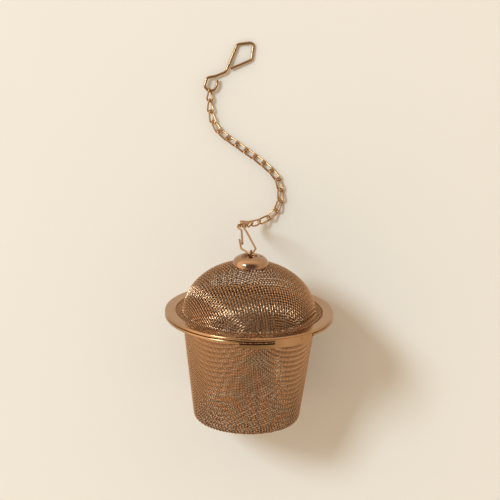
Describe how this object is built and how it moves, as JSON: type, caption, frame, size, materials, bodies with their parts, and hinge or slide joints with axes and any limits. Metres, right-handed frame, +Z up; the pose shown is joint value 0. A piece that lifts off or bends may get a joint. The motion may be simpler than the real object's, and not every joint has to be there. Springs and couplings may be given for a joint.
{
  "type": "tea infuser",
  "caption": "Round woven-mesh tea basket with a twist-off domed mesh lid, wire clip, curb chain and cup hook.",
  "frame": {"origin": "bottom centre of the bounding box of the whole object as it lies, on the table's surface", "axes": "+Z up from the table, +Y from the basket towards the hook (the long way), +X to the right as seen from above with the hook at the top"},
  "size_m": [0.0522, 0.1236, 0.0509],
  "materials": {
    "woven_mesh": "rose-gold plated fine woven steel wire",
    "polished_rim": "polished rose-gold plating",
    "polished_cap": "mirror-polished rose-gold plating",
    "bright_wire": "polished rose-gold plated wire",
    "chain_wire": "polished rose-gold plated wire",
    "plain_steel": "plated, not polished"
  },
  "bodies": {
    "basket": {"basket_mesh": "woven_mesh", "basket_ring": "polished_rim"},
    "lid": {"lid_mesh": "woven_mesh", "lid_ring": "polished_rim", "lid_cap": "polished_cap", "eyelet_washer": "plain_steel", "eyelet": "bright_wire"},
    "clip": {"eyelet_clip": "bright_wire"},
    "link_01": {"link_01": "chain_wire"},
    "link_02": {"link_02": "chain_wire"},
    "link_03": {"link_03": "chain_wire"},
    "link_04": {"link_04": "chain_wire"},
    "link_05": {"link_05": "chain_wire"},
    "link_06": {"link_06": "chain_wire"},
    "link_07": {"link_07": "chain_wire"},
    "link_08": {"link_08": "chain_wire"},
    "link_09": {"link_09": "chain_wire"},
    "link_10": {"link_10": "chain_wire"},
    "link_11": {"link_11": "chain_wire"},
    "link_12": {"link_12": "chain_wire"},
    "link_13": {"link_13": "chain_wire"},
    "link_14": {"link_14": "chain_wire"},
    "link_15": {"link_15": "chain_wire"},
    "link_16": {"link_16": "chain_wire"},
    "link_17": {"link_17": "chain_wire"},
    "link_18": {"link_18": "chain_wire"},
    "link_19": {"link_19": "chain_wire"},
    "link_20": {"link_20": "chain_wire"},
    "link_21": {"link_21": "chain_wire"},
    "link_22": {"link_22": "chain_wire"},
    "hook": {"end_hook": "bright_wire"}
  },
  "joints": [
    {"name": "lid_lift", "type": "slide", "parent": "basket", "child": "lid", "axis": [0.025, 0.9532, 0.3014], "range_m": [0, 0.045]},
    {"name": "clip_swing", "type": "hinge", "parent": "lid", "child": "clip", "pos_m": [0.00048, -0.00625, 0.03157], "axis": [0.9998, 0.0174, 0], "range_deg": [-26, 130]},
    {"name": "link_01_hinge", "type": "hinge", "parent": "clip", "child": "link_01", "pos_m": [-0.00266, 0.00294, 0.02208], "axis": [0.9998, 0.0174, 0], "range_deg": [-2, 75.4]},
    {"name": "link_02_hinge", "type": "hinge", "parent": "link_01", "child": "link_02", "pos_m": [-0.00205, 0.00294, 0.01894], "axis": [0, -1, 0], "range_deg": [-26, 36]},
    {"name": "link_03_hinge", "type": "hinge", "parent": "link_02", "child": "link_03", "pos_m": [-0.00168, 0.00294, 0.01546], "axis": [0, 1, 0], "range_deg": [-31, 31]},
    {"name": "link_04_hinge", "type": "hinge", "parent": "link_03", "child": "link_04", "pos_m": [-0.00131, 0.00294, 0.01198], "axis": [0.0523, -0.9986, 0], "range_deg": [-35, 27]},
    {"name": "link_05_hinge", "type": "hinge", "parent": "link_04", "child": "link_05", "pos_m": [-0.00071, 0.00297, 0.00853], "axis": [-0.1219, 0.9925, 0], "range_deg": [-17, 45]},
    {"name": "link_06_hinge", "type": "hinge", "parent": "link_05", "child": "link_06", "pos_m": [0.00071, 0.00315, 0.00534], "axis": [0.2419, -0.9703, 0], "range_deg": [-55.2, 6.8]},
    {"name": "link_07_hinge", "type": "hinge", "parent": "link_06", "child": "link_07", "pos_m": [0.00323, 0.00378, 0.00299], "axis": [-0.4226, 0.9063, 0], "range_deg": [-10.5, 51.5]},
    {"name": "link_08_hinge", "type": "hinge", "parent": "link_07", "child": "link_08", "pos_m": [0.00617, 0.00515, 0.00168], "axis": [0, 0, -1], "range_deg": [-14, 48]},
    {"name": "link_09_hinge", "type": "hinge", "parent": "link_08", "child": "link_09", "pos_m": [0.00874, 0.00746, 0.00113], "axis": [0, 0, 1], "range_deg": [-57, 5]},
    {"name": "link_10_hinge", "type": "hinge", "parent": "link_09", "child": "link_10", "pos_m": [0.01005, 0.0107, 0.00089], "axis": [0, 0, -1], "range_deg": [-9, 53]},
    {"name": "link_11_hinge", "type": "hinge", "parent": "link_10", "child": "link_11", "pos_m": [0.01005, 0.0142, 0.00077], "axis": [0, 0, 1], "range_deg": [-45, 17]},
    {"name": "link_12_hinge", "type": "hinge", "parent": "link_11", "child": "link_12", "pos_m": [0.0092, 0.01759, 0.00077], "axis": [0, 0, -1], "range_deg": [-7, 55]},
    {"name": "link_13_hinge", "type": "hinge", "parent": "link_12", "child": "link_13", "pos_m": [0.00705, 0.02035, 0.00077], "axis": [0, 0, 1], "range_deg": [-42, 20]},
    {"name": "link_14_hinge", "type": "hinge", "parent": "link_13", "child": "link_14", "pos_m": [0.0044, 0.02265, 0.00077], "axis": [0, 0, -1], "range_deg": [-28, 34]},
    {"name": "link_15_hinge", "type": "hinge", "parent": "link_14", "child": "link_15", "pos_m": [0.00164, 0.0248, 0.00077], "axis": [0, 0, 1], "range_deg": [-35, 27]},
    {"name": "link_16_hinge", "type": "hinge", "parent": "link_15", "child": "link_16", "pos_m": [-0.00126, 0.02676, 0.00077], "axis": [0, 0, -1], "range_deg": [-33, 29]},
    {"name": "link_17_hinge", "type": "hinge", "parent": "link_16", "child": "link_17", "pos_m": [-0.00409, 0.02882, 0.00077], "axis": [0, 0, 1], "range_deg": [-33, 29]},
    {"name": "link_18_hinge", "type": "hinge", "parent": "link_17", "child": "link_18", "pos_m": [-0.00699, 0.03077, 0.00083], "axis": [0, 0, -1], "range_deg": [-36, 26]},
    {"name": "link_19_hinge", "type": "hinge", "parent": "link_18", "child": "link_19", "pos_m": [-0.00971, 0.03297, 0.00095], "axis": [0, 0, 1], "range_deg": [-12, 50]},
    {"name": "link_20_hinge", "type": "hinge", "parent": "link_19", "child": "link_20", "pos_m": [-0.01156, 0.03594, 0.00107], "axis": [0, 0, -1], "range_deg": [-49, 13]},
    {"name": "link_21_hinge", "type": "hinge", "parent": "link_20", "child": "link_21", "pos_m": [-0.01241, 0.03933, 0.00126], "axis": [0, 0, 1], "range_deg": [-21, 41]},
    {"name": "link_22_hinge", "type": "hinge", "parent": "link_21", "child": "link_22", "pos_m": [-0.01265, 0.04282, 0.00144], "axis": [0, 0, -1], "range_deg": [-35, 27]},
    {"name": "hook_hinge", "type": "hinge", "parent": "link_22", "child": "hook", "pos_m": [-0.01265, 0.04588, 0.00144], "axis": [0.9995, -0.0005, -0.0319], "range_deg": [-60, 60]}
  ]
}
